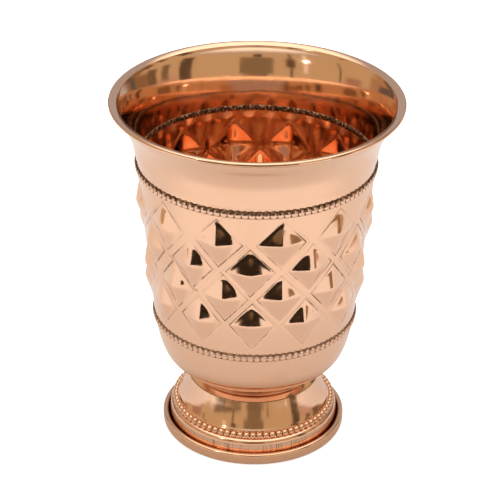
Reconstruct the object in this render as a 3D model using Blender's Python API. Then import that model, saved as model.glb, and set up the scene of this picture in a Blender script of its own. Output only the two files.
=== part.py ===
# Footed copper tumbler, at rest on the ground plane. Metres, +Z up, origin at the centre of the
# underside. Every piece is turned about the Z axis; the front of the cup faces -Y.
import math

import bmesh
import bpy

MM = 0.001
TAU = 2.0 * math.pi

# Overall sizes, in millimetres.
TOTAL_HEIGHT = 113.2
RIM_RADIUS = 45.0
SHEET = 0.8
TOUCHING_GAP = 0.3

# Rolled lip: an elliptical roll on the flared edge.
LIP_HALF_WIDTH = 1.2
LIP_HALF_HEIGHT = 0.8

# Bowl, outer skin away from the bosses: (radius, height) from the neck up to the lip.
BOWL_FLOOR_Z = 20.6
BOWL_FLOOR_RADIUS = 17.0
BOWL_BELLY = [(19.4, 21.4), (22.7, 22.9), (25.9, 25.1), (28.3, 27.9), (29.8, 31.6), (30.9, 36.0)]
BOWL_FLARE = [(37.4, 97.4), (38.2, 101.2), (39.2, 104.0), (40.5, 106.7), (42.0, 109.1)]
WALL_TOP_RADIUS = 36.9
WALL_TOP_Z = 94.8
WALL_BASE_RADIUS = 31.5
WALL_BASE_Z = 39.4

# Milled bands: a shallow raised ring above and below the bosses.
UPPER_BAND_Z = 92.45
LOWER_BAND_Z = 40.8
BAND_HEIGHT = 2.8
BAND_RISE = 0.5

# Pyramid bosses: four staggered rows of twelve, raised out of the wall.
BOSSES_PER_ROW = 12
BOSS_ROW_TOP_Z = 81.7
BOSS_ROW_STEP = 9.7
BOSS_HALF_HEIGHT = 8.5
BOSS_HALF_ANGLE = math.radians(12.2)
BOSS_RISE = 1.6
BOSS_ZONE_TOP_Z = 90.8
BOSS_ZONE_BOTTOM_Z = 42.9
# Azimuth of one boss of each row, and how far the hand setting of that row drifts round the cup.
ROW_PHASE = [math.radians(a) for a in (12.2, -2.3, 13.7, -1.5)]
ROW_DRIFT = [math.radians(a) for a in (2.0, 2.4, -2.0, -3.0)]
RING_STEPS = 6

# Foot: a hollow spun pedestal with a ring of beads above its skirt.
FOOT_BEADS = 76
FOOT_BEAD_RADIUS = 24.9
FOOT_BEAD_Z = 8.7
FOOT_BEAD_RISE = 0.8
FOOT_CREVICE = 0.25
FOOT_TOP_Z = BOWL_FLOOR_Z - TOUCHING_GAP
FOOT_FLARE = [(18.6, 20.1), (19.4, 19.65), (20.83, 18.1), (21.11, 17.0), (21.6, 15.3), (22.27, 13.3),
              (23.09, 11.4), (24.0, 9.95)]
FOOT_SHOULDER = [(25.4, 7.6), (26.1, 7.3), (26.7, 6.8), (27.1, 6.1)]
SKIRT_RADIUS = 27.1

# Base plate: a disc with a rolled rim that stands round the skirt.
PLATE_THICKNESS = 0.8
PLATE_RIM_INNER = 27.7
PLATE_RIM_OUTER = 29.1
PLATE_RIM_Z = 3.8
BASE_STEPS = 76

# Braze: a ring in the groove under the bowl, and one inside the foot at the base of its skirt.
NECK_BRAZE = [(17.9, 20.5), (19.5, 20.05), (20.0, 19.9), (20.35, 20.35), (20.15, 20.95), (19.5, 21.05),
              (17.9, 20.56)]
BASE_BRAZE_HEIGHT = 1.4
BASE_BRAZE_WIDTH = 1.4

COPPER = (0.86, 0.50, 0.33, 1.0)
COPPER_DARK = (0.62, 0.30, 0.17, 1.0)


def material(name, colour, roughness):
    mat = bpy.data.materials.new(name)
    mat.use_nodes = True
    shader = mat.node_tree.nodes["Principled BSDF"]
    shader.inputs["Base Color"].default_value = colour
    shader.inputs["Roughness"].default_value = roughness
    shader.inputs["Metallic"].default_value = 1.0
    return mat


def even_angles(count):
    return [TAU * i / count for i in range(count)]


def ring(mesh, radius, z, angles):
    """A ring of vertices; angles are azimuths from the front, positive towards +X."""
    if radius == 0.0:
        return [mesh.verts.new((0.0, 0.0, z * MM))]
    return [
        mesh.verts.new((radius * math.sin(a) * MM, -radius * math.cos(a) * MM, z * MM)) for a in angles
    ]


def bridge(mesh, low, high):
    """Joins two rings: equal counts, one a single point, or the second twice as fine."""
    if len(low) > len(high):
        low, high = high, low
    count = len(high)
    if len(low) == 1:
        for i in range(count):
            mesh.faces.new((low[0], high[i], high[(i + 1) % count]))
    elif len(low) == count:
        for i in range(count):
            j = (i + 1) % count
            mesh.faces.new((low[i], low[j], high[j], high[i]))
    else:
        for i in range(len(low)):
            j = (i + 1) % len(low)
            left, middle, right = high[2 * i], high[2 * i + 1], high[(2 * i + 2) % count]
            mesh.faces.new((low[i], middle, left))
            mesh.faces.new((low[i], low[j], middle))
            mesh.faces.new((low[j], right, middle))


def bridge_all(mesh, rings):
    for low, high in zip(rings, rings[1:]):
        bridge(mesh, low, high)


def finish(name, mesh, mat, smooth_angle):
    bmesh.ops.recalc_face_normals(mesh, faces=mesh.faces)
    for face in mesh.faces:
        face.smooth = True
    for edge in mesh.edges:
        if edge.calc_face_angle(0.0) > smooth_angle:
            edge.smooth = False
    data = bpy.data.meshes.new(name)
    mesh.to_mesh(data)
    mesh.free()
    data.materials.append(mat)
    bpy.context.scene.collection.objects.link(bpy.data.objects.new(name, data))


def wall_radius(z):
    """Outer radius of the tapered wall under the bosses."""
    share = (z - WALL_BASE_Z) / (WALL_TOP_Z - WALL_BASE_Z)
    return WALL_BASE_RADIUS + (WALL_TOP_RADIUS - WALL_BASE_RADIUS) * share


def boss_azimuth(row, i):
    even = ROW_PHASE[row] + TAU * i / BOSSES_PER_ROW
    return even + ROW_DRIFT[row] * math.sin(even)


def between(row, i):
    return 0.5 * (boss_azimuth(row, i) + boss_azimuth(row, i + 1))


def ring_angles(row):
    """Azimuths of the fine rings that meet the bosses of this row."""
    angles = []
    for i in range(BOSSES_PER_ROW):
        start = boss_azimuth(row, i)
        end = boss_azimuth(row, i + 1)
        angles += [start + (end - start) * s / RING_STEPS for s in range(RING_STEPS)]
    return angles


def point(mesh, azimuth, z, out):
    return ring(mesh, wall_radius(z) + out, z, [azimuth])[0]


def boss_zone(mesh, top_ring, bottom_ring, out):
    """The wall with its bosses, between two fine rings, moved out by a distance."""
    rows = len(ROW_PHASE)
    row_z = [BOSS_ROW_TOP_Z - BOSS_ROW_STEP * k for k in range(rows)]
    n = BOSSES_PER_ROW
    sides = [[point(mesh, between(k, i), row_z[k], out) for i in range(n)] for k in range(rows)]
    for k in range(rows):
        lag = k % 2
        for i in range(n):
            above = top_ring[i * RING_STEPS] if k == 0 else sides[k - 1][i - lag]
            below = bottom_ring[i * RING_STEPS] if k == rows - 1 else sides[k + 1][i - lag]
            corners = [above, sides[k][i], below, sides[k][i - 1]]
            azimuth = boss_azimuth(k, i)
            outline = [
                point(mesh, azimuth, row_z[k] + BOSS_HALF_HEIGHT, out),
                point(mesh, azimuth + BOSS_HALF_ANGLE, row_z[k], out),
                point(mesh, azimuth, row_z[k] - BOSS_HALF_HEIGHT, out),
                point(mesh, azimuth - BOSS_HALF_ANGLE, row_z[k], out),
            ]
            apex = point(mesh, azimuth, row_z[k], out + BOSS_RISE)
            for side in range(4):
                following = (side + 1) % 4
                mesh.faces.new((corners[side], corners[following], outline[following], outline[side]))
                mesh.faces.new((outline[side], outline[following], apex))
    for fine, hubs in ((top_ring, sides[0]), (bottom_ring, sides[-1])):
        for i in range(n):
            for s in range(RING_STEPS):
                first = i * RING_STEPS + s
                mesh.faces.new((hubs[i], fine[first], fine[(first + 1) % len(fine)]))


def band(z):
    """Section of a milled band, from its lower edge up."""
    half = BAND_HEIGHT / 2.0
    return [
        (wall_radius(z - half), z - half),
        (wall_radius(z) + BAND_RISE, z - half * 0.6),
        (wall_radius(z) + BAND_RISE, z + half * 0.6),
        (wall_radius(z + half), z + half),
    ]


def lip_section():
    """The roll from its outer underside, over the top, to the inner wall."""
    steps = 9
    start = math.radians(-115.0)
    end = math.radians(170.0)
    centre = RIM_RADIUS - LIP_HALF_WIDTH
    height = TOTAL_HEIGHT - LIP_HALF_HEIGHT
    section = []
    for s in range(steps):
        a = start + (end - start) * s / (steps - 1)
        section.append((centre + LIP_HALF_WIDTH * math.cos(a), height + LIP_HALF_HEIGHT * math.sin(a)))
    return section


def build_bowl(mat):
    mesh = bmesh.new()
    rows = len(ROW_PHASE)
    upper = ring_angles(0)
    lower = ring_angles(rows - 1)

    outer_low = [(0.0, BOWL_FLOOR_Z), (BOWL_FLOOR_RADIUS, BOWL_FLOOR_Z)] + BOWL_BELLY + band(LOWER_BAND_Z)
    outer_high = band(UPPER_BAND_Z) + BOWL_FLARE + lip_section()
    inner_high = [(r - SHEET, z) for r, z in reversed(BOWL_FLARE)]
    inner_high.append((wall_radius(UPPER_BAND_Z) - SHEET, UPPER_BAND_Z))
    inner_low = [(wall_radius(WALL_BASE_Z) - SHEET, WALL_BASE_Z)]
    inner_low += [(r - SHEET * 0.7, z + SHEET * 0.6) for r, z in reversed(BOWL_BELLY)]
    inner_low += [(BOWL_FLOOR_RADIUS - SHEET * 0.2, BOWL_FLOOR_Z + SHEET), (0.0, BOWL_FLOOR_Z + SHEET)]

    outside_low = [ring(mesh, r, z, lower) for r, z in outer_low]
    outside_low.append(ring(mesh, wall_radius(BOSS_ZONE_BOTTOM_Z), BOSS_ZONE_BOTTOM_Z, lower))
    outside_high = [ring(mesh, wall_radius(BOSS_ZONE_TOP_Z), BOSS_ZONE_TOP_Z, upper)]
    outside_high += [ring(mesh, r, z, upper) for r, z in outer_high + inner_high]
    outside_high.append(ring(mesh, wall_radius(BOSS_ZONE_TOP_Z) - SHEET, BOSS_ZONE_TOP_Z, upper))
    inside_low = [ring(mesh, wall_radius(BOSS_ZONE_BOTTOM_Z) - SHEET, BOSS_ZONE_BOTTOM_Z, lower)]
    inside_low += [ring(mesh, r, z, lower) for r, z in inner_low]

    bridge_all(mesh, outside_low)
    bridge_all(mesh, outside_high)
    bridge_all(mesh, inside_low)
    boss_zone(mesh, outside_high[0], outside_low[-1], 0.0)
    boss_zone(mesh, outside_high[-1], inside_low[0], -SHEET)
    finish("bowl", mesh, mat, math.radians(12.0))


def build_foot(mat):
    mesh = bmesh.new()
    coarse = even_angles(FOOT_BEADS)
    fine = even_angles(2 * FOOT_BEADS)
    skirt_foot_z = PLATE_THICKNESS + TOUCHING_GAP

    outside = [ring(mesh, 0.0, FOOT_TOP_Z, coarse), ring(mesh, BOWL_FLOOR_RADIUS, FOOT_TOP_Z, coarse)]
    outside += [ring(mesh, r, z, coarse) for r, z in FOOT_FLARE]
    beads = []
    for tilt in (75.0, 40.0, 5.0, -30.0):
        a = math.radians(tilt)
        verts = ring(mesh, FOOT_BEAD_RADIUS, FOOT_BEAD_Z, fine)
        for i, vert in enumerate(verts):
            rise = (FOOT_CREVICE if i % 2 == 0 else FOOT_BEAD_RISE) * MM
            azimuth = fine[i]
            vert.co.x += rise * math.cos(a) * math.sin(azimuth)
            vert.co.y -= rise * math.cos(a) * math.cos(azimuth)
            vert.co.z += rise * math.sin(a)
        beads.append(verts)
    outside += beads
    outside += [ring(mesh, r, z, coarse) for r, z in FOOT_SHOULDER]
    outside.append(ring(mesh, SKIRT_RADIUS, skirt_foot_z, coarse))

    inside = [(SKIRT_RADIUS - SHEET, skirt_foot_z), (SKIRT_RADIUS - SHEET, 6.2), (25.6, 6.7), (23.6, 8.7)]
    inside += [(r - SHEET * 0.9, z - SHEET * 0.3) for r, z in reversed(FOOT_FLARE[3:-1])]
    inside += [(19.7, 18.3), (18.3, FOOT_TOP_Z - SHEET - 0.2), (0.0, FOOT_TOP_Z - SHEET)]
    rings = outside + [ring(mesh, r, z, coarse) for r, z in inside]
    bridge_all(mesh, rings)
    finish("foot", mesh, mat, math.radians(40.0))


def build_turned(name, section, closed, mat):
    """A body of revolution. A closed section is a ring; an open one starts and ends on the axis."""
    mesh = bmesh.new()
    angles = even_angles(BASE_STEPS)
    rings = [ring(mesh, r, z, angles) for r, z in section]
    bridge_all(mesh, rings + rings[:1] if closed else rings)
    finish(name, mesh, mat, math.radians(50.0))


def build_base_plate(mat):
    inner, outer, top = PLATE_RIM_INNER, PLATE_RIM_OUTER, PLATE_RIM_Z
    section = [
        (0.0, 0.0), (outer - 0.9, 0.0), (outer - 0.25, 0.35), (outer, 1.1), (outer, top - 1.0),
        (outer - 0.2, top - 0.35), (outer - 0.6, top), (inner + 0.25, top), (inner, top - 0.3),
        (inner, PLATE_THICKNESS), (0.0, PLATE_THICKNESS),
    ]
    build_turned("base_plate", section, False, mat)


def build_base_braze(mat):
    outer = SKIRT_RADIUS - SHEET - TOUCHING_GAP
    low = PLATE_THICKNESS + TOUCHING_GAP
    section = [
        (outer, low), (outer, low + BASE_BRAZE_HEIGHT), (outer - 0.4 * BASE_BRAZE_WIDTH, low + 0.5),
        (outer - BASE_BRAZE_WIDTH, low),
    ]
    build_turned("base_braze", section, True, mat)


def main():
    for obj in list(bpy.data.objects):
        bpy.data.objects.remove(obj, do_unlink=True)
    copper = material("copper", COPPER, 0.12)
    braze = material("copper_braze", COPPER_DARK, 0.45)
    build_bowl(copper)
    build_foot(copper)
    build_base_plate(copper)
    build_turned("neck_braze", NECK_BRAZE, True, braze)
    build_base_braze(braze)


main()
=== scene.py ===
import math

import bmesh
import bpy
import numpy as np
from mathutils import Matrix, Vector


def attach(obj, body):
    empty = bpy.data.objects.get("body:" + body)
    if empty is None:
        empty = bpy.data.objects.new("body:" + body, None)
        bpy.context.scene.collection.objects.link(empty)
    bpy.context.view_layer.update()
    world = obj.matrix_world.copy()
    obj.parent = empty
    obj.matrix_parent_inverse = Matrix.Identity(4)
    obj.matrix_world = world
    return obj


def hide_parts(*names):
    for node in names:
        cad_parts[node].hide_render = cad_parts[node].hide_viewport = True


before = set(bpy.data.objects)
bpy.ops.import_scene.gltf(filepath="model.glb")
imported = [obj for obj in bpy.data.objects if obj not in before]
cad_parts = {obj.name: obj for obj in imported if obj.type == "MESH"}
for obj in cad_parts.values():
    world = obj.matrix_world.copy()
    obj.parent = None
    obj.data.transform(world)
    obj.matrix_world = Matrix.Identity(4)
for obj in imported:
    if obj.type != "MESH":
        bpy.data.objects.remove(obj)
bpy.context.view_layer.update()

MM = 0.001
TAU = 2.0 * math.pi
BODY = "root"
COPPER_SLOT = "copper"
BRAZE_SLOT = "copper_braze"
WELD = 2e-6

# Overall sizes.
TOTAL_HEIGHT = 113.2
RIM_RADIUS = 45.0
SHEET = 0.8

# Bowl sections, (radius, height).
BOWL_FLOOR_Z = 20.6
BOWL_FLOOR_RADIUS = 17.0
BOWL_BELLY = [(19.4, 21.4), (22.7, 22.9), (25.9, 25.1), (28.3, 27.9), (29.8, 31.6), (30.9, 36.0)]
BOWL_FLARE = [(37.4, 97.4), (38.2, 101.2), (39.2, 104.0), (40.5, 106.7), (42.0, 109.1)]
WALL_TOP_RADIUS, WALL_TOP_Z = 36.9, 94.8
# Inside, the flare's slope grows evenly towards the lip: tilt in degrees, and the height it grows over.
FLARE_TILT_LOW, FLARE_TILT_GAIN, FLARE_GROWTH = 5.6, 35.9, 6.48
WALL_BASE_RADIUS, WALL_BASE_Z = 31.5, 39.4

# The lip, from its outer underside over the top to the inner wall: offsets from the rim's radius and top.
LIP = [(-1.6, -1.5), (-1.1, -1.58), (-0.45, -1.38), (-0.06, -0.92), (0.0, -0.6), (-0.1, -0.27),
       (-0.4, -0.06), (-0.8, 0.0), (-1.5, -0.16), (-2.2, -0.42), (-2.6, -0.66), (-2.75, -0.95)]

# Milled bands: one row of upright beads each.
UPPER_BAND_Z = 92.45
LOWER_BAND_Z = 40.8
INNER_BAND_Z = 93.6
UPPER_SCALLOPS = 110
LOWER_SCALLOPS = 100
BAND_HALF = 1.45
INNER_BAND_HALF = 0.85
BAND_COLUMNS = 12
BAND_ROWS = 27
BEAD_RISE = 0.62
BEAD_SQUARENESS = 2.6
BAND_SINK = 0.12
BAND_BACKING = 0.35
# Darkening on a bead: all round its edge, and painted shade (a painted dark reflection) over its upper half,
# save a painted highlight spot. Then its least value on the inside band, and how strong it is on each band.
EDGE_DARKENING = (0.70, 0.95)
PAINTED_SHADE_UPPER = (-0.02, 0.14)
PAINTED_HIGHLIGHT_HEIGHT = 0.42
PAINTED_HIGHLIGHT_SIZE = (0.45, 0.24)
INNER_BAND_PATINA = 0.75
UPPER_DARKENING_AND_SHADE, LOWER_DARKENING_AND_SHADE, INNER_DARKENING_AND_SHADE = 0.72, 0.62, 1.0

# Pyramid bosses.
BOSSES_PER_ROW = 12
BOSS_ROW_TOP_Z = 81.7
BOSS_ROW_STEP = 9.7
BOSS_HALF_HEIGHT = 8.5
BOSS_HALF_ANGLE = math.radians(12.2)
BOSS_RISE = 1.6
ROW_PHASE = [math.radians(a) for a in (12.2, -2.3, 13.7, -1.5)]
ROW_DRIFT = [math.radians(a) for a in (2.0, 2.4, -2.0, -3.0)]
ROWS = len(ROW_PHASE)
ZONE_TOP_Z = 90.8
ZONE_BOTTOM_Z = 42.9
# A facet is straight to this share of the way out, then eases into the wall.
FACET_STRAIGHT = 0.78
FACET_EASE = 0.8
RIDGE_SOFTNESS = 0.03
UPRIGHT_RIDGE_SOFTNESS = 0.08
TOP_RIDGE_SOFTNESS = 0.12
# The scored outline of a boss, and the fainter second line beside some of its sides.
OUTLINE_DEPTH = 0.06
SECOND_LINE = 0.42
SECOND_LINE_ODDS = 0.3
# Rows of points in the flat strip between outline and cell edge; the second line is on the middle one.
STRIP_SHARES = (0.28, 0.64, 1.0)
SECOND_LINE_SHARE = 0.64
# Bosses between these azimuths were beaten softer on their right-hand sides.
SOFT_SIDE = (math.radians(-62.0), math.radians(-9.0))
SOFT_SIDE_SLACK = 0.55
HAND_SEED = 11

# Foot and base. The groove is the crevice that the beads stand in.
FOOT_BEADS = 76
FOOT_BEAD_RADIUS = 25.0
FOOT_BEAD_Z = 8.65
FOOT_BEAD_SIZE = (0.80, 1.02, 1.22)
FOOT_BEAD_LEAN = 46.0
BEAD_SEED = 5
BEAD_SPREAD = 0.0012
FOOT_TOP_Z = 20.3
FOOT_COLLAR = [(18.6, 20.0), (19.3, 19.35), (20.1, 18.68), (20.83, 18.1)]
FOOT_FLARE = [(20.83, 18.1), (21.18, 17.0), (21.72, 15.3), (22.42, 13.3), (23.19, 11.4), (24.0, 9.95)]
FOOT_GROOVE = [(24.25, 9.75), (24.45, 9.35), (24.6, 8.9), (24.75, 8.4), (24.95, 7.95), (25.2, 7.72)]
FOOT_SHOULDER = [(25.3, 7.62), (25.9, 7.36), (26.4, 6.9), (26.68, 6.2), (26.76, 5.4)]
SKIRT_RADIUS = 27.1
SKIRT_FOOT_Z = 1.1
SKIRT_TOP_Z = 6.0
SKIRT = [(26.85, 4.5), (26.94, 3.6), (27.03, 2.7), (SKIRT_RADIUS, 2.0), (SKIRT_RADIUS, 1.5),
         (SKIRT_RADIUS - 0.05, SKIRT_FOOT_Z + 0.08), (SKIRT_RADIUS - 0.15, SKIRT_FOOT_Z)]
SKIRT_INSIDE = [(SKIRT_RADIUS - SHEET, SKIRT_FOOT_Z), (SKIRT_RADIUS - SHEET, 3.0), (25.9, 6.0),
                (25.2, 6.7), (23.6, 8.7)]
PLATE_THICKNESS = 0.8
PLATE_RIM_INNER = 27.45
PLATE_RIM_OUTER = 29.1
PLATE_RIM_Z = 3.8
RIM_CROWN = 0.8
# The crevice between skirt and rim is closed a little below the rim's edge, this far from the skirt.
CREVICE_GAP = 0.15
NECK_BRAZE = [(17.9, 20.5), (19.5, 20.05), (20.0, 19.9), (20.35, 20.35), (20.15, 20.95), (19.5, 21.05),
              (17.9, 20.56)]

# Fineness of the meshes. The steps along a boss's side are twice as many outside as inside.
OUTER_STEPS = 24
INNER_STEPS = 12
TURNED_STEPS = 304
SECTION_STEPS = 5
BEAD_RINGS, BEAD_SIDES = 9, 14


# ---------------------------------------------------------------- mesh building

def polar(radius, azimuth, z):
    """Points in metres from cylindrical millimetres; azimuth 0 is the front, positive towards +X."""
    radius, azimuth, z = np.broadcast_arrays(radius, azimuth, z)
    return np.stack([radius * np.sin(azimuth), -radius * np.cos(azimuth), z], axis=-1) * MM


def curve_through(points, steps):
    """A smooth line through section points."""
    known = np.array(points, float)
    known = np.vstack([2 * known[0] - known[1], known, 2 * known[-1] - known[-2]])
    line = []
    for p0, p1, p2, p3 in zip(known, known[1:], known[2:], known[3:]):
        for t in np.arange(steps) / steps:
            line.append(0.5 * (2 * p1 + (p2 - p0) * t + (2 * p0 - 5 * p1 + 4 * p2 - p3) * t * t
                               + (3 * p1 - p0 - 3 * p2 + p3) * t ** 3))
    line.append(known[-2])
    return [tuple(p) for p in line]


def rounded(corners, radius, steps=4):
    """A section whose inner corners are rounded; its two ends stay."""
    corners = [np.array(c, float) for c in corners]
    line = [corners[0]]
    for before, here, after in zip(corners, corners[1:], corners[2:]):
        reach = min(radius, 0.45 * np.linalg.norm(before - here), 0.45 * np.linalg.norm(after - here))
        start = here + reach * (before - here) / np.linalg.norm(before - here)
        end = here + reach * (after - here) / np.linalg.norm(after - here)
        for t in np.arange(steps + 1) / steps:
            line.append((1 - t) ** 2 * start + 2 * t * (1 - t) * here + t * t * end)
    line.append(corners[-1])
    return [tuple(p) for p in line]


class Surface:
    """Gathers the points, faces and crease values of one piece."""

    def __init__(self):
        self.points, self.crease, self.faces, self.count = [], [], [], 0

    def add(self, points, crease=0.0):
        """Adds an array of points; returns their indices in the same shape."""
        shape = points.shape[:-1]
        total = int(np.prod(shape))
        self.points.append(points.reshape(-1, 3))
        self.crease.append(np.broadcast_to(crease, shape).reshape(-1))
        index = (self.count + np.arange(total)).reshape(shape)
        self.count += total
        return index

    def quads(self, index, around=True):
        """Faces between the rows of a grid; around joins its last column to its first."""
        if around:
            index = np.hstack([index, index[:, :1]])
        corners = (index[:-1, :-1], index[:-1, 1:], index[1:, 1:], index[1:, :-1])
        self.faces += np.stack(corners, -1).reshape(-1, 4).tolist()

    def triangles(self, corners):
        self.faces += np.asarray(corners).reshape(-1, 3).tolist()

    def fan(self, row, tip):
        self.triangles(np.stack([row, np.roll(row, -1), np.full_like(row, tip)], -1))

    def turned(self, section, azimuths, crease=0.0):
        """Rings of a section; a radius of 0 closes the surface on the axis. Returns first and last ring."""
        section = np.array(section, float)
        crease = np.broadcast_to(crease, len(section))
        on_axis = section[:, 0] == 0.0
        body = section[~on_axis]
        grid = polar(body[:, :1], np.asarray(azimuths)[None, :], body[:, 1:])
        index = self.add(grid, np.repeat(crease[~on_axis][:, None], len(azimuths), 1))
        self.quads(index)
        if on_axis[0]:
            self.fan(index[0], self.add(polar(0.0, 0.0, section[0, 1])[None, :])[0])
        if on_axis[-1]:
            self.fan(index[-1], self.add(polar(0.0, 0.0, section[-1, 1])[None, :])[0])
        return index[0], index[-1]

    def piece(self, name, finish, slot, *nodes):
        """The finished object, riding on its body and standing for the CAD nodes named."""
        data = bpy.data.meshes.new(name)
        data.from_pydata(np.vstack(self.points).tolist(), [], self.faces)
        layer = data.attributes.new("crease", "FLOAT", "POINT")
        layer.data.foreach_set("value", np.concatenate(self.crease).astype(np.float32))
        mesh = bmesh.new()
        mesh.from_mesh(data)
        bmesh.ops.remove_doubles(mesh, verts=mesh.verts, dist=WELD)
        bmesh.ops.recalc_face_normals(mesh, faces=mesh.faces)
        for face in mesh.faces:
            face.smooth = True
        mesh.to_mesh(data)
        mesh.free()
        data.materials.append(finish)
        obj = bpy.data.objects.new(name, data)
        bpy.context.scene.collection.objects.link(obj)
        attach(obj, BODY)
        if nodes:
            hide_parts(*nodes)
        return obj


def even_angles(count):
    return TAU * np.arange(count) / count


# ---------------------------------------------------------------- bowl

def wall_radius(z):
    share = (z - WALL_BASE_Z) / (WALL_TOP_Z - WALL_BASE_Z)
    return WALL_BASE_RADIUS + (WALL_TOP_RADIUS - WALL_BASE_RADIUS) * share


def boss_azimuth(row, i):
    even = ROW_PHASE[row] + TAU * i / BOSSES_PER_ROW
    return even + ROW_DRIFT[row] * math.sin(even)


def hub(row, i):
    """The meeting point of cells beside boss i of a row."""
    return 0.5 * (boss_azimuth(row, i) + boss_azimuth(row, i + 1)), BOSS_ROW_TOP_Z - BOSS_ROW_STEP * row


def cell(row, i):
    """Corners of the cell round a boss: above, right, below and left."""
    lag = row % 2
    above = (boss_azimuth(row, i), ZONE_TOP_Z) if row == 0 else hub(row - 1, i - lag)
    below = (boss_azimuth(row, i), ZONE_BOTTOM_Z) if row == ROWS - 1 else hub(row + 1, i - lag)
    return np.array([above, hub(row, i), below, hub(row, i - 1)])


def boss_profile(level):
    """Height of a boss, 1 at its apex and 0 at its outline: straight, then easing into the wall."""
    ease = np.clip((level - FACET_STRAIGHT) / (1.0 - FACET_STRAIGHT), 0.0, 1.0)
    fall = level - FACET_EASE * 0.5 * ease ** 2 * (1.0 - FACET_STRAIGHT)
    return 1.0 - fall / (1.0 - FACET_EASE * 0.5 * (1.0 - FACET_STRAIGHT))


def soft(x, width):
    return np.sqrt(x * x + width * width) - width


def boss_cell(surface, row, i, steps, out, hand):
    """One boss and the flat strip round it. hand holds its small irregularities."""
    corners = cell(row, i)
    centre = np.array([boss_azimuth(row, i), BOSS_ROW_TOP_Z - BOSS_ROW_STEP * row])
    reach = np.array([BOSS_HALF_ANGLE, BOSS_HALF_HEIGHT])
    outline = centre + np.array([(0, 1), (1, 0), (0, -1), (-1, 0)]) * reach

    line = np.arange(steps + 1) / steps
    s, t = np.meshgrid(line, line, indexing="ij")
    down, across = s + t - 1.0, s - t
    place = ((1 - s) * (1 - t))[..., None] * outline[0] + (s * (1 - t))[..., None] * outline[1]
    place = place + (s * t)[..., None] * outline[2] + ((1 - s) * t)[..., None] * outline[3]
    level = np.abs(down) + np.abs(across)
    upright = UPRIGHT_RIDGE_SOFTNESS + TOP_RIDGE_SOFTNESS * np.clip(-down, 0.0, 1.0)
    level_ridge = RIDGE_SOFTNESS + hand["slack"][0] * np.clip(-across, 0.0, 1.0)
    level_ridge = level_ridge + hand["slack"][1] * np.clip(across, 0.0, 1.0)
    eased = soft(down, level_ridge) + soft(across, upright) + (level_ridge + upright) * level
    rise = BOSS_RISE * hand["rise"] * boss_profile(np.clip(eased, 0.0, 1.0))
    rise = rise * (1.0 + hand["dish"] * level * (1.0 - level))
    place = place + (1.0 - level)[..., None] * hand["shift"] * reach
    border = level > 0.999
    rise = np.where(border, -OUTLINE_DEPTH, rise)
    inner = surface.add(
        polar(wall_radius(place[..., 1]) + out + rise, place[..., 0], place[..., 1]),
        np.where(border & (out == 0.0), 1.0, 0.0),
    )
    for a in range(steps):
        for b in range(steps):
            q = (inner[a, b], inner[a + 1, b], inner[a + 1, b + 1], inner[a, b + 1])
            if abs(a - b) <= abs(a + b + 1 - steps):
                surface.triangles([(q[0], q[1], q[2]), (q[0], q[2], q[3])])
            else:
                surface.triangles([(q[0], q[1], q[3]), (q[1], q[2], q[3])])

    loop = np.concatenate([inner[:-1, 0], inner[-1, :-1], inner[:0:-1, -1], inner[0, :0:-1]])
    loop_place = np.concatenate([
        place[:-1, 0], place[-1, :-1], place[:0:-1, -1], place[0, :0:-1],
    ])
    along = np.arange(steps) / steps
    edge = np.concatenate([
        corners[k] + (corners[(k + 1) % 4] - corners[k]) * along[:, None] for k in range(4)
    ])
    rows = [loop]
    doubled = np.repeat(hand["doubled"], steps) * (SECOND_LINE if out == 0.0 else 0.0)
    for share in STRIP_SHARES:
        at = loop_place + (edge - loop_place) * share
        line = doubled if share == SECOND_LINE_SHARE else 0.0
        rows.append(surface.add(polar(wall_radius(at[:, 1]) + out, at[:, 0], at[:, 1]), line))
    surface.quads(np.array(rows))


def half_cell(surface, tip, left, right, steps, out):
    """The plain triangle between two bosses and the ring beyond them."""
    rows = []
    for j in range(steps + 1):
        start = tip + (left - tip) * j / steps
        end = tip + (right - tip) * j / steps
        share = np.arange(j + 1)[:, None] / max(j, 1)
        at = start + (end - start) * share
        rows.append(surface.add(polar(wall_radius(at[:, 1]) + out, at[:, 0], at[:, 1])))
    for small, large in zip(rows, rows[1:]):
        surface.triangles(np.stack([small, large[:-1], large[1:]], -1))
        if len(small) > 1:
            surface.triangles(np.stack([small[:-1], large[1:-1], small[1:]], -1))


def column_azimuths(row, steps):
    """Azimuths of the rings that meet the bosses of a row."""
    line = []
    for i in range(BOSSES_PER_ROW):
        start, end = boss_azimuth(row, i), boss_azimuth(row, i + 1)
        line += [start + (end - start) * k / steps for k in range(steps)]
    return np.array(line)


def boss_zone(surface, steps, out, hands):
    for row in range(ROWS):
        for i in range(BOSSES_PER_ROW):
            boss_cell(surface, row, i, steps, out, hands[row][i])
    for row, z in ((0, ZONE_TOP_Z), (ROWS - 1, ZONE_BOTTOM_Z)):
        for i in range(BOSSES_PER_ROW):
            half_cell(
                surface, np.array(hub(row, i)), np.array([boss_azimuth(row, i), z]),
                np.array([boss_azimuth(row, i + 1), z]), steps, out,
            )




def lip_section():
    """A flattened roll whose top slopes gently inwards."""
    line = curve_through(LIP, 3)
    return [(RIM_RADIUS + min(r, 0.0), TOTAL_HEIGHT + min(z, 0.0)) for r, z in line]


def inner_flare(end, steps=26):
    """Inner side of the flare, from the lip's inner edge down to the band."""
    radius, height = end
    line, low = [], WALL_TOP_Z
    step = (height - low) / steps
    for _ in range(steps):
        tilt = FLARE_TILT_LOW + FLARE_TILT_GAIN * math.exp((height - step / 2 - end[1]) / FLARE_GROWTH)
        radius -= step * math.tan(math.radians(tilt))
        height -= step
        line.append((radius, height))
    return line[::-1]


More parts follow.
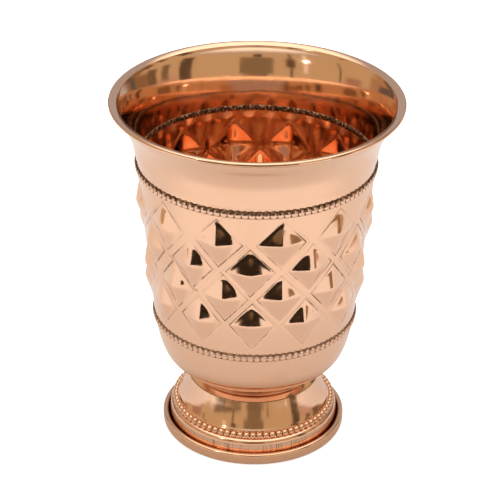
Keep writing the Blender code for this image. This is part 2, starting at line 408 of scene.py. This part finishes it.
def hand_work(seed):
    """Small differences from boss to boss, as beating by hand leaves."""
    draw = np.random.default_rng(seed)
    hands = []
    for row in range(ROWS):
        hands.append([])
        for i in range(BOSSES_PER_ROW):
            azimuth = (boss_azimuth(row, i) + math.pi) % TAU - math.pi
            slack = draw.uniform(0.0, 0.12, 2)
            if SOFT_SIDE[0] < azimuth < SOFT_SIDE[1]:
                slack[1] = SOFT_SIDE_SLACK + draw.uniform(-0.1, 0.1)
            hands[-1].append({
                "rise": 1.0 + draw.uniform(-0.04, 0.04),
                "dish": draw.uniform(-0.05, 0.20),
                "shift": draw.uniform(-0.05, 0.05, 2),
                "doubled": draw.uniform(0.0, 1.0, 4) < SECOND_LINE_ODDS,
                "slack": slack,
            })
    return hands


def build_bowl(finish):
    surface = Surface()
    hands = hand_work(HAND_SEED)
    upper = column_azimuths(0, OUTER_STEPS)
    lower = column_azimuths(ROWS - 1, OUTER_STEPS)
    boss_zone(surface, OUTER_STEPS, 0.0, hands)
    boss_zone(surface, INNER_STEPS, -SHEET, hands)

    top = (wall_radius(ZONE_TOP_Z), ZONE_TOP_Z)
    bottom = (wall_radius(ZONE_BOTTOM_Z), ZONE_BOTTOM_Z)
    lip = lip_section()
    high = [top, (wall_radius(94.6), 94.6)] + curve_through(
        [(WALL_TOP_RADIUS + 0.02, WALL_TOP_Z + 0.4)] + BOWL_FLARE + lip[:1], 4)[:-1] + lip
    low = curve_through(BOWL_BELLY + [(wall_radius(LOWER_BAND_Z), LOWER_BAND_Z), bottom], 4)
    low = [(0.0, BOWL_FLOOR_Z), (BOWL_FLOOR_RADIUS, BOWL_FLOOR_Z), (18.4, 20.85)] + low
    _, outer_end = surface.turned(high, upper)
    surface.turned(low, lower)

    inner_high = [(top[0] - SHEET, top[1])] + inner_flare(lip[-1])
    inner_upper = column_azimuths(0, INNER_STEPS)
    _, inner_end = surface.turned(inner_high, inner_upper)
    inner_low = [(BOWL_FLOOR_RADIUS - SHEET * 0.2, BOWL_FLOOR_Z + SHEET)]
    inner_low += [(r - SHEET * 0.7, z + SHEET * 0.6) for r, z in BOWL_BELLY]
    inner_low += [(wall_radius(WALL_BASE_Z) - SHEET, WALL_BASE_Z), (bottom[0] - SHEET, bottom[1])]
    surface.turned([(0.0, BOWL_FLOOR_Z + SHEET)] + curve_through(inner_low, 4),
                   column_azimuths(ROWS - 1, INNER_STEPS))
    ratio = OUTER_STEPS // INNER_STEPS
    first = outer_end.reshape(-1, ratio)
    following = np.roll(outer_end, -1).reshape(-1, ratio)
    near, far = inner_end, np.roll(inner_end, -1)
    surface.triangles(np.stack([near, first[:, 0], first[:, 1]], -1))
    surface.triangles(np.stack([near, first[:, 1], far], -1))
    surface.triangles(np.stack([far, first[:, 1], following[:, 1]], -1))
    return surface.piece("bowl_shell", finish, COPPER_SLOT, "bowl")


# ---------------------------------------------------------------- milled bands

def dome(x):
    return np.sqrt(np.clip(1.0 - x * x, 0.0, 1.0))


def step_between(x, limits):
    share = np.clip((x - limits[0]) / (limits[1] - limits[0]), 0.0, 1.0)
    return share * share * (3.0 - 2.0 * share)


def build_band(name, z, half, count, inward, darkening_and_shade, finish):
    """A milled ring: one row of upright beads, their upper halves darkened with painted shade."""
    surface = Surface()
    columns = even_angles(count * BAND_COLUMNS)
    unit = (np.arange(count * BAND_COLUMNS) % BAND_COLUMNS + 0.5) / BAND_COLUMNS * 2.0 - 1.0
    v, u = np.meshgrid(np.linspace(1.0, -1.0, BAND_ROWS), unit, indexing="ij")
    away = (np.abs(u) ** BEAD_SQUARENESS + np.abs(v) ** BEAD_SQUARENESS) ** (1.0 / BEAD_SQUARENESS)
    rise = dome(away * 0.97) * BEAD_RISE * half / BAND_HALF
    edge = np.clip((1.0 - np.abs(v)) / 0.1, 0.0, 1.0)
    rise = rise - BAND_SINK * (1.0 - edge)
    # Painted shade over each bead's upper half, left bright in a painted highlight spot; darkening round its
    # edge.
    painted_highlight_spot = np.exp(-(u / PAINTED_HIGHLIGHT_SIZE[0]) ** 2 - ((v - PAINTED_HIGHLIGHT_HEIGHT) / PAINTED_HIGHLIGHT_SIZE[1]) ** 2)
    crease = np.maximum(step_between(away, EDGE_DARKENING), step_between(v, PAINTED_SHADE_UPPER) * (1.0 - painted_highlight_spot))
    crease = np.maximum(crease, INNER_BAND_PATINA if inward else 0.0) * darkening_and_shade
    sign = -1.0 if inward else 1.0
    height = z + v * half
    skin = wall_radius(height) - (SHEET if inward else 0.0)
    face = surface.add(polar(skin + sign * (rise + 0.02), columns[None, :], height), crease)
    back = surface.add(polar(skin[[0, -1]] - sign * BAND_BACKING, columns[None, :], height[[0, -1]]))
    surface.quads(np.vstack([back[:1], face, back[1:]]))
    surface.quads(back[::-1])
    return surface.piece(name, finish, COPPER_SLOT)


# ---------------------------------------------------------------- foot and base

def build_foot(finish):
    surface = Surface()
    angles = even_angles(TURNED_STEPS)
    collar = curve_through(FOOT_COLLAR, SECTION_STEPS)
    flare = curve_through(FOOT_FLARE, SECTION_STEPS)[1:]
    shoulder = curve_through(FOOT_SHOULDER, SECTION_STEPS)
    outside = [(0.0, FOOT_TOP_Z), (BOWL_FLOOR_RADIUS, FOOT_TOP_Z)] + collar + flare
    outside += FOOT_GROOVE + shoulder + SKIRT
    inside = SKIRT_INSIDE + [(r - SHEET * 0.9, z - SHEET * 0.3) for r, z in reversed(FOOT_FLARE[1:-1])]
    inside += [(19.7, 18.3), (18.3, FOOT_TOP_Z - SHEET - 0.2), (0.0, FOOT_TOP_Z - SHEET)]
    # Painted shade where the collar meets the flare and in the groove, and a faint painted dark reflection
    # where the shoulder meets the skirt.
    crease = np.zeros(len(outside) + len(inside))
    joint = 1 + len(collar)
    crease[joint] = 1.0
    first = joint + 1 + len(flare)
    crease[first + 2:first + len(FOOT_GROOVE) - 1] = 0.9
    crease[first + len(FOOT_GROOVE) + len(shoulder) - 2] = 0.5
    surface.turned(outside + inside, angles, crease)
    return surface.piece("foot_shell", finish, COPPER_SLOT, "foot")


def build_foot_beads(finish):
    surface = Surface()
    lean = math.radians(FOOT_BEAD_LEAN)
    tilt = np.linspace(0.0, math.pi, BEAD_RINGS + 2)[1:-1]
    turn = even_angles(BEAD_SIDES)
    polar_part, ring_part = np.meshgrid(tilt, turn, indexing="ij")
    ball = np.stack([np.cos(polar_part), np.sin(polar_part) * np.cos(ring_part),
                     np.sin(polar_part) * np.sin(ring_part)], -1)
    draw = np.random.default_rng(BEAD_SEED)
    for azimuth in even_angles(FOOT_BEADS):
        size = np.array(FOOT_BEAD_SIZE) * (1.0 + draw.uniform(-0.03, 0.03)) * MM
        out = Vector((
            math.sin(azimuth) * math.cos(lean), -math.cos(azimuth) * math.cos(lean), math.sin(lean)))
        along = Vector((math.cos(azimuth), math.sin(azimuth), 0.0))
        axes = np.array([out, along, out.cross(along)])
        astray = draw.uniform(-BEAD_SPREAD, BEAD_SPREAD)
        centre = polar(FOOT_BEAD_RADIUS + 0.05, azimuth + astray, FOOT_BEAD_Z)
        index = surface.add(centre + (size * ball) @ axes)
        surface.quads(index)
        for row, end in ((index[0], 1.0), (index[-1], -1.0)):
            tip = surface.add((centre + size[0] * end * axes[0])[None, :])[0]
            surface.fan(row, tip)
    return surface.piece("foot_beads", finish, COPPER_SLOT)


def build_base_plate(finish):
    inner, outer, top = PLATE_RIM_INNER, PLATE_RIM_OUTER, PLATE_RIM_Z
    middle, half = 0.5 * (inner + outer), 0.5 * (outer - inner)
    crown = [(middle + half * math.cos(a), top - RIM_CROWN + RIM_CROWN * math.sin(a))
             for a in np.linspace(0.0, math.pi, 15)]
    outside = rounded([
        (outer - 1.2, 0.0), (outer - 0.35, 0.05), (outer, 0.9), (outer, top - RIM_CROWN - 0.4)], 0.6)
    beside_skirt = SKIRT_RADIUS + CREVICE_GAP
    filled = [(inner, top - RIM_CROWN - 0.1), (beside_skirt, top - RIM_CROWN - 0.35),
              (beside_skirt, PLATE_THICKNESS), (0.0, PLATE_THICKNESS)]
    section = [(0.0, 0.0), (outer - 1.8, 0.0)] + outside + crown + filled
    crease = np.zeros(len(section))
    # Painted shade inside the crevice between skirt and rim, on its walls and on the plate under the skirt.
    crease[-4:] = 1.0
    surface = Surface()
    surface.turned(section, even_angles(TURNED_STEPS), crease)
    return surface.piece("base_disc", finish, COPPER_SLOT, "base_plate")


def build_neck_braze(finish):
    surface = Surface()
    line = np.array(rounded(NECK_BRAZE + NECK_BRAZE[:1], 0.3, 3)[:-1])
    angles = even_angles(TURNED_STEPS)
    index = surface.add(polar(line[:, :1], angles[None, :], line[:, 1:]), 0.0)
    surface.quads(np.vstack([index, index[:1]]))
    return surface.piece("neck_seam", finish, BRAZE_SLOT, "neck_braze")


# ---------------------------------------------------------------- materials

COPPER = (0.865, 0.545, 0.375, 1.0)
COPPER_WARM = (0.80, 0.44, 0.26, 1.0)
# Dark colour for patina, dirt and scratches, and for painted shade.
PATINA_AND_SHADE = (0.055, 0.024, 0.012, 1.0)
BRAZE = (0.62, 0.28, 0.15, 1.0)
WARM_SHARE = 0.25
SPECK_STRENGTH = 0.55
TURNING_MARK_DEPTH = 0.0028
# Radius at which the unrolled texture space has its nominal scale, in millimetres.
MEAN_RADIUS = 35.0


class Graph:
    """Short hand for building a node tree."""

    def __init__(self, tree):
        self.tree = tree
        tree.nodes.clear()

    def node(self, kind, inputs=None, **settings):
        made = self.tree.nodes.new(kind)
        for key, value in settings.items():
            setattr(made, key, value)
        for key, value in (inputs or {}).items():
            socket = made.inputs[key]
            if isinstance(value, bpy.types.NodeSocket):
                self.tree.links.new(value, socket)
            else:
                socket.default_value = value
        return made

    def math(self, operation, *values, clamp=False):
        made = self.node("ShaderNodeMath", dict(enumerate(values)), operation=operation, use_clamp=clamp)
        return made.outputs[0]

    def ramp(self, value, low, high, to_low=0.0, to_high=1.0, smooth=True):
        made = self.node("ShaderNodeMapRange", {
            "Value": value, "From Min": low, "From Max": high, "To Min": to_low, "To Max": to_high,
        }, interpolation_type="SMOOTHSTEP" if smooth else "LINEAR")
        return made.outputs[0]

    def mix(self, share, a, b):
        made = self.node("ShaderNodeMix", data_type="RGBA")
        for socket, value in ((made.inputs[0], share), (made.inputs[6], a), (made.inputs[7], b)):
            if isinstance(value, bpy.types.NodeSocket):
                self.tree.links.new(value, socket)
            else:
                socket.default_value = value
        return made.outputs[2]

    def noise(self, vector, scale, detail=2.0, roughness=0.5, distortion=0.0):
        made = self.node("ShaderNodeTexNoise", {
            "Vector": vector, "Scale": scale, "Detail": detail, "Roughness": roughness,
            "Distortion": distortion,
        })
        return made.outputs["Fac"]


def cup_coordinates(graph):
    """The place on the cup in millimetres, its azimuth and its height."""
    place = graph.node("ShaderNodeTexCoord").outputs["Object"]
    scaled = graph.node("ShaderNodeVectorMath", {0: place, "Scale": 1.0 / MM}, operation="SCALE").outputs[0]
    parts = graph.node("ShaderNodeSeparateXYZ", {0: scaled}).outputs
    azimuth = graph.math("ARCTAN2", parts[0], graph.math("MULTIPLY", parts[1], -1.0))
    return scaled, azimuth, parts[2]


def unrolled(graph, azimuth, z, around, upward):
    """Texture space whose frequencies differ round the cup and up it."""
    circle = graph.math("MULTIPLY", around, MEAN_RADIUS)
    x = graph.math("MULTIPLY", graph.math("SINE", azimuth), circle)
    y = graph.math("MULTIPLY", graph.math("COSINE", azimuth), circle)
    up = graph.math("MULTIPLY", z, upward)
    return graph.node("ShaderNodeCombineXYZ", {0: x, 1: y, 2: up}).outputs[0]


def copper_finish(name, base=COPPER, roughness=0.07, broken=False, streaks=0.0, wave=0.004):
    """Polished metal: tone, dirt, scratches and painted shade darken it; haze and fine turning marks blur
    its shine.
    """
    mat = bpy.data.materials.new(name)
    mat.use_nodes = True
    g = Graph(mat.node_tree)
    shader = g.node("ShaderNodeBsdfPrincipled", {"Metallic": 1.0})
    out = g.node("ShaderNodeOutputMaterial", {"Surface": shader.outputs[0]})
    out.is_active_output = True
    flat, azimuth, z = cup_coordinates(g)

    # Warmer areas.
    tone = g.noise(flat, 0.055, 3.0, 0.55, 0.6)
    colour = g.mix(g.ramp(tone, 0.45, 0.75, 0.0, WARM_SHARE), base, COPPER_WARM)

    # Darkening by the crease value: painted shade in the foot's groove and joints, the base's crevice and
    # over the beads' upper halves, the inside band's blackening, and darker lines along the bosses'
    # outlines; broken up in patches on the bowl.
    crease = g.node("ShaderNodeAttribute", attribute_name="crease").outputs["Fac"]
    crease_variation = g.noise(flat, 1.3, 3.0, 0.6)
    dirt_and_shade = g.math("MULTIPLY", g.ramp(crease, 0.12, 0.85), g.ramp(crease_variation, 0.30, 0.55, 0.35, 1.0))
    if broken:
        crease_patches = g.noise(flat, 0.11, 2.0, 0.6)
        dirt_and_shade = g.math("MULTIPLY", dirt_and_shade, g.ramp(crease_patches, 0.42, 0.64, 0.05, 0.80))

    # Small dark specks, in some areas only.
    speck = g.noise(flat, 1.1, 2.0, 0.5)
    speck_area = g.noise(flat, 0.09, 1.0, 0.5)
    specks = g.math("MULTIPLY", g.ramp(speck, 0.735, 0.775), g.ramp(speck_area, 0.52, 0.62))
    dirt_and_shade = g.math("MAXIMUM", dirt_and_shade, g.math("MULTIPLY", specks, SPECK_STRENGTH))

    # Upright scratches below the top of the skirt.
    if streaks:
        lines = g.noise(unrolled(g, azimuth, z, 2.0, 0.05), 1.0, 2.0, 0.7)
        patches = g.noise(unrolled(g, azimuth, z, 0.10, 0.05), 1.0, 1.0, 0.5)
        marks = g.math("MULTIPLY", g.ramp(lines, 0.54, 0.66), g.ramp(patches, 0.42, 0.58, 0.15, 1.0))
        marks = g.math("MULTIPLY", marks, g.ramp(z, SKIRT_TOP_Z - 0.3, SKIRT_TOP_Z + 0.1, 1.0, 0.0))
        dirt_and_shade = g.math("MAXIMUM", dirt_and_shade, g.math("MULTIPLY", marks, streaks))
    # Dirt, scratches and painted shade all mix towards the same dark colour.
    colour = g.mix(dirt_and_shade, colour, PATINA_AND_SHADE)

    # Haze, hairlines, dirt and painted shade dull the shine.
    haze = g.noise(flat, 0.35, 4.0, 0.65)
    hair = g.noise(unrolled(g, azimuth, z, 0.12, 4.0), 1.0, 3.0, 0.6)
    rough = g.math("ADD", g.ramp(haze, 0.35, 0.75, roughness, roughness + 0.06),
                   g.math("MULTIPLY", g.ramp(hair, 0.5, 0.8), 0.05))
    rough = g.math("ADD", rough, g.math("MULTIPLY", dirt_and_shade, 0.32), clamp=True)

    # Slow swells, and fine turning marks that are stronger in some areas.
    swell = g.noise(flat, 0.13, 2.0, 0.45)
    fine = g.noise(unrolled(g, azimuth, z, 0.05, 2.6), 1.0, 2.0, 0.6)
    brushed = g.noise(flat, 0.12, 2.0, 0.5)
    fine = g.math("MULTIPLY", fine, g.ramp(brushed, 0.42, 0.62, 0.25, 1.0))
    bump = g.node("ShaderNodeBump", {"Height": swell, "Strength": 1.0, "Distance": wave * MM * 10})
    bump = g.node("ShaderNodeBump", {
        "Height": fine, "Strength": 1.0, "Distance": TURNING_MARK_DEPTH * MM, "Normal": bump.outputs[0]})
    links = mat.node_tree.links
    links.new(colour, shader.inputs["Base Color"])
    links.new(rough, shader.inputs["Roughness"])
    links.new(bump.outputs[0], shader.inputs["Normal"])
    return mat


# ---------------------------------------------------------------- studio

PAPER = (0.88, 0.905, 0.99, 1.0)
PAPER_SHADE = (0.87, 0.895, 0.98, 1.0)
PAPER_RADII = (0.05, 0.10, 0.172, 0.20, 0.28, 0.50, 1.30)
PAPER_SECTORS = 180
PAPER_DROP = 0.0002
# Where the paper stops short: from and to, in degrees from straight in front, then from and to, in metres
# from the cup.
PAPER_GAPS = [(-42.0, 30.0, 0.172, 2.0), (30.0, 53.0, 0.50, 2.0), (53.0, 72.0, 0.20, 2.0),
              (72.0, 110.0, 0.28, 2.0), (-110.0, -70.0, 0.28, 2.0), (-70.0, -42.0, 0.50, 2.0)]
# The paper's glow grows away from the cup and fades behind it, in metres; the last one is as seen directly.
PAPER_GLOW = 0.18
PAPER_GLOW_COLOUR = (1.0, 0.995, 0.985, 1.0)
PAPER_GLOW_REACH = (0.075, 0.12)
PAPER_GLOW_DEPTH = (-0.08, 0.03)
# Close to the foot the paper lies in the base ring's shade.
PAPER_DIM = (0.72, 0.70, 0.69, 1.0)
PAPER_DIM_REACH = (0.031, 0.046)
PAPER_CAMERA_GLOW = 0.72

# What the polished metal mirrors besides the paper. Angles in degrees: direction from straight in
# front of the cup (positive to its right as seen from the front), height above the horizon.
BACKDROP = (0.48, 0.48, 0.49)
CEILING = (1.75, 1.70, 1.55)
CEILING_HEIGHT = (42.0, 56.0)
ROOM = [
    # name, azimuth from, to, height from, to, softness, colour
    ("low back", 132, 228, -90, 2, 8.0, (0.76, 0.70, 0.62)),
    ("warm room", -128, 128, -90, 44, 6.0, (0.62, 0.48, 0.29)),
    ("right wall", 104, 136, -12, 22, 4.0, (0.30, 0.18, 0.09)),
    ("left wall", -136, -112, -12, 22, 4.0, (0.46, 0.28, 0.16)),
    ("warm right", 74, 106, -20, 12, 5.0, (0.60, 0.40, 0.30)),
    ("dark floor", -46, 52, -90, -9, 3.0, (0.030, 0.022, 0.015)),
    ("figure body", -14, 16, 9, 33, 1.5, (0.27, 0.20, 0.115)),
    ("figure legs", -9, 12, 1, 10, 1.0, (0.27, 0.20, 0.115)),
    ("figure base", -12, 17, -12, 2.5, 1.0, (0.22, 0.16, 0.09)),
    ("figure head", -4, 4, 33, 40, 1.0, (0.16, 0.12, 0.07)),
    ("far post", 21, 24, 1, 7, 1.0, (0.30, 0.22, 0.12)),
    ("stand", -32, -29, 2, 42, 1.0, (0.20, 0.14, 0.08)),
    ("stand box", -34, -26, 18, 32, 1.5, (0.13, 0.09, 0.05)),
    ("sill", -62, -45, -8, 3, 1.0, (0.17, 0.12, 0.07)),
    ("sill end", -46, -19, 0.5, 3.8, 0.8, (0.20, 0.14, 0.08)),
    ("left rug", -101, -84, -4, 14, 3.0, (0.45, 0.26, 0.17)),
    ("cabinet", 61, 73, -12, 38, 1.5, (0.13, 0.09, 0.055)),
    ("cabinet foot", 51, 74, -60, -12, 3.0, (0.33, 0.22, 0.12)),
    ("side chair", 84, 92, 8, 30, 2.0, (0.22, 0.16, 0.09)),
    ("side shelf", 98, 108, 0, 26, 2.0, (0.20, 0.14, 0.08)),
    ("left edge", -79, -77, 5, 34, 1.0, (0.18, 0.12, 0.07)),
    ("back door", 150, 192, -30, 9, 2.0, (0.13, 0.11, 0.10)),
    ("back shelf", 204, 236, -4, 12, 2.0, (0.16, 0.12, 0.10)),
    ("side post", 124, 130, -30, 42, 2.0, (0.14, 0.12, 0.10)),
    ("lamp glow", -46, -42, 12, 42, 1.5, (1.00, 0.88, 0.72)),
]


def build_floor():
    """Pale paper under the cup, cut short towards the room in front."""
    mesh = bmesh.new()
    angles = even_angles(PAPER_SECTORS)
    centre = mesh.verts.new((0.0, 0.0, 0.0))
    rings = [[mesh.verts.new((r * math.sin(a), -r * math.cos(a), 0.0)) for a in angles] for r in PAPER_RADII]
    for i, angle in enumerate(angles):
        j = (i + 1) % PAPER_SECTORS
        mesh.faces.new((centre, rings[0][j], rings[0][i]))
        towards = (math.degrees(angle) + 180.0 / PAPER_SECTORS + 180.0) % 360.0 - 180.0
        for near, far, start, end in zip(rings, rings[1:], PAPER_RADII, PAPER_RADII[1:]):
            middle = 0.5 * (start + end)
            if not any(w < towards < e and n < middle < f for w, e, n, f in PAPER_GAPS):
                mesh.faces.new((near[i], near[j], far[j], far[i]))
    bmesh.ops.delete(mesh, geom=[v for v in mesh.verts if not v.link_faces], context="VERTS")
    bmesh.ops.recalc_face_normals(mesh, faces=mesh.faces)
    data = bpy.data.meshes.new("floor")
    mesh.to_mesh(data)
    mesh.free()
    mat = bpy.data.materials.new("floor_paper")
    mat.use_nodes = True
    g = Graph(mat.node_tree)
    place = g.node("ShaderNodeTexCoord").outputs["Object"]
    grain = g.noise(place, 400.0, 3.0)
    tone = g.mix(g.ramp(grain, 0.3, 0.7), PAPER_SHADE, PAPER)
    away = g.node("ShaderNodeVectorMath", {0: place}, operation="LENGTH").outputs["Value"]
    tone = g.mix(g.ramp(away, *PAPER_DIM_REACH, 1.0, 0.0), tone, PAPER_DIM)
    paper = g.node("ShaderNodeBsdfDiffuse", {"Color": tone})
    path = g.node("ShaderNodeLightPath")
    mirrored = g.ramp(away, *PAPER_GLOW_REACH, 0.0, PAPER_GLOW)
    depth = g.node("ShaderNodeSeparateXYZ", {0: place}).outputs[1]
    mirrored = g.math("MULTIPLY", mirrored, g.ramp(depth, *PAPER_GLOW_DEPTH, 1.0, 0.0))
    seen = g.math("MULTIPLY", path.outputs["Is Camera Ray"], PAPER_CAMERA_GLOW)
    strength = g.math("MAXIMUM", mirrored, seen)
    glow = g.node("ShaderNodeEmission", {"Color": PAPER_GLOW_COLOUR, "Strength": strength})
    both = g.node("ShaderNodeAddShader", {0: paper.outputs[0], 1: glow.outputs[0]})
    g.node("ShaderNodeOutputMaterial", {"Surface": both.outputs[0]})
    data.materials.append(mat)
    floor = bpy.data.objects.new("floor", data)
    floor.location.z = -PAPER_DROP
    bpy.context.scene.collection.objects.link(floor)


def build_world():
    world = bpy.data.worlds.new("studio")
    world.use_nodes = True
    bpy.context.scene.world = world
    g = Graph(world.node_tree)
    direction = g.node("ShaderNodeTexCoord").outputs["Generated"]
    parts = g.node("ShaderNodeSeparateXYZ", {0: direction}).outputs
    degrees = 180.0 / math.pi
    front = g.math("MULTIPLY", g.math("ARCTAN2", parts[0], g.math("MULTIPLY", parts[1], -1.0)), degrees)
    behind = g.math("MULTIPLY", g.math("ARCTAN2", g.math("MULTIPLY", parts[0], -1.0), parts[1]), degrees)
    behind = g.math("ADD", behind, 180.0)
    height = g.math("MULTIPLY", g.math("ARCSINE", parts[2]), degrees)
    colour = (*BACKDROP, 1.0)
    for _, west, east, low, high, soft_edge, tint in ROOM:
        azimuth = behind if east > 180 else front
        share = g.ramp(azimuth, west - soft_edge, west + soft_edge)
        share = g.math("MULTIPLY", share, g.ramp(azimuth, east - soft_edge, east + soft_edge, 1.0, 0.0))
        share = g.math("MULTIPLY", share, g.ramp(height, low - soft_edge, low + soft_edge))
        share = g.math("MULTIPLY", share, g.ramp(height, high - soft_edge, high + soft_edge, 1.0, 0.0))
        colour = g.mix(share, colour, (*tint, 1.0))
    colour = g.mix(g.ramp(height, *CEILING_HEIGHT), colour, (*CEILING, 1.0))
    seen = g.node("ShaderNodeBackground", {"Color": (1.0, 1.0, 1.0, 1.0), "Strength": 1.0})
    mirrored = g.node("ShaderNodeBackground", {"Color": colour, "Strength": 1.0})
    path = g.node("ShaderNodeLightPath")
    both = g.node("ShaderNodeMixShader", {0: path.outputs["Is Camera Ray"], 1: mirrored.outputs[0],
                                          2: seen.outputs[0]})
    g.node("ShaderNodeOutputWorld", {"Surface": both.outputs[0]})


LAMP_AZIMUTH = math.radians(-45.0)
LAMP_HEIGHT = math.radians(32.0)
LAMP_DISTANCE = 1.5
LAMP_SIZE = 0.045
LAMP_POWER = 0.6
LAMP_COLOUR = (1.0, 0.97, 0.92)
LAMP_AIM = (0.0, 0.0, 0.06)


def build_lamp():
    light = bpy.data.lights.new("lamp", "AREA")
    light.shape = "DISK"
    light.size = LAMP_SIZE
    light.energy = LAMP_POWER
    light.color = LAMP_COLOUR
    lamp = bpy.data.objects.new("lamp", light)
    back = Vector((math.sin(LAMP_AZIMUTH) * math.cos(LAMP_HEIGHT),
                   -math.cos(LAMP_AZIMUTH) * math.cos(LAMP_HEIGHT), math.sin(LAMP_HEIGHT)))
    lamp.location = Vector(LAMP_AIM) + back * LAMP_DISTANCE
    lamp.rotation_mode = "QUATERNION"
    lamp.rotation_quaternion = back.to_track_quat("Z", "Y")
    bpy.context.scene.collection.objects.link(lamp)


CAMERA_TARGET = (-0.001635, 0.0, 0.0612)
CAMERA_DISTANCE = 0.675
CAMERA_ELEVATION = math.radians(28.48)
CAMERA_ROLL = math.radians(0.70)
CAMERA_LENS = 155.41
CAMERA_SENSOR = 36.0
CAMERA_CLIP = (0.05, 20.0)


def build_camera():
    data = bpy.data.cameras.new("camera")
    data.lens = CAMERA_LENS
    data.sensor_width = CAMERA_SENSOR
    data.clip_start, data.clip_end = CAMERA_CLIP
    camera = bpy.data.objects.new("camera", data)
    back = Vector((0.0, -math.cos(CAMERA_ELEVATION), math.sin(CAMERA_ELEVATION)))
    aim = back.to_track_quat("Z", "Y").to_matrix().to_4x4() @ Matrix.Rotation(CAMERA_ROLL, 4, "Z")
    camera.matrix_world = Matrix.Translation(Vector(CAMERA_TARGET) + back * CAMERA_DISTANCE) @ aim
    bpy.context.scene.collection.objects.link(camera)
    bpy.context.scene.camera = camera


def build_cup():
    """The visual pieces; the braze inside the foot stays the CAD's own, in its material."""
    body = copper_finish("copper_polished", broken=True)
    band = copper_finish("copper_milled", roughness=0.14, wave=0.0)
    dark = copper_finish("copper_blackened", roughness=0.22, wave=0.0)
    foot = copper_finish("copper_spun_foot", streaks=0.8, roughness=0.09)
    bead = copper_finish("copper_beads", roughness=0.12)
    plate = copper_finish("copper_base", roughness=0.10)
    braze = copper_finish("copper_seam", base=BRAZE, roughness=0.22)
    build_bowl(body)
    build_band("upper_band", UPPER_BAND_Z, BAND_HALF, UPPER_SCALLOPS, False, UPPER_DARKENING_AND_SHADE, band)
    build_band("lower_band", LOWER_BAND_Z, BAND_HALF, LOWER_SCALLOPS, False, LOWER_DARKENING_AND_SHADE, band)
    build_band("inner_band", INNER_BAND_Z, INNER_BAND_HALF, UPPER_SCALLOPS, True, INNER_DARKENING_AND_SHADE, dark)
    build_foot(foot)
    build_foot_beads(bead)
    build_base_plate(plate)
    build_neck_braze(braze)
    inside_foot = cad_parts["base_braze"]
    inside_foot.data.materials.clear()
    inside_foot.data.materials.append(braze)


bpy.context.scene.view_settings.view_transform = "Standard"
build_camera()
build_floor()
build_world()
build_lamp()
build_cup()
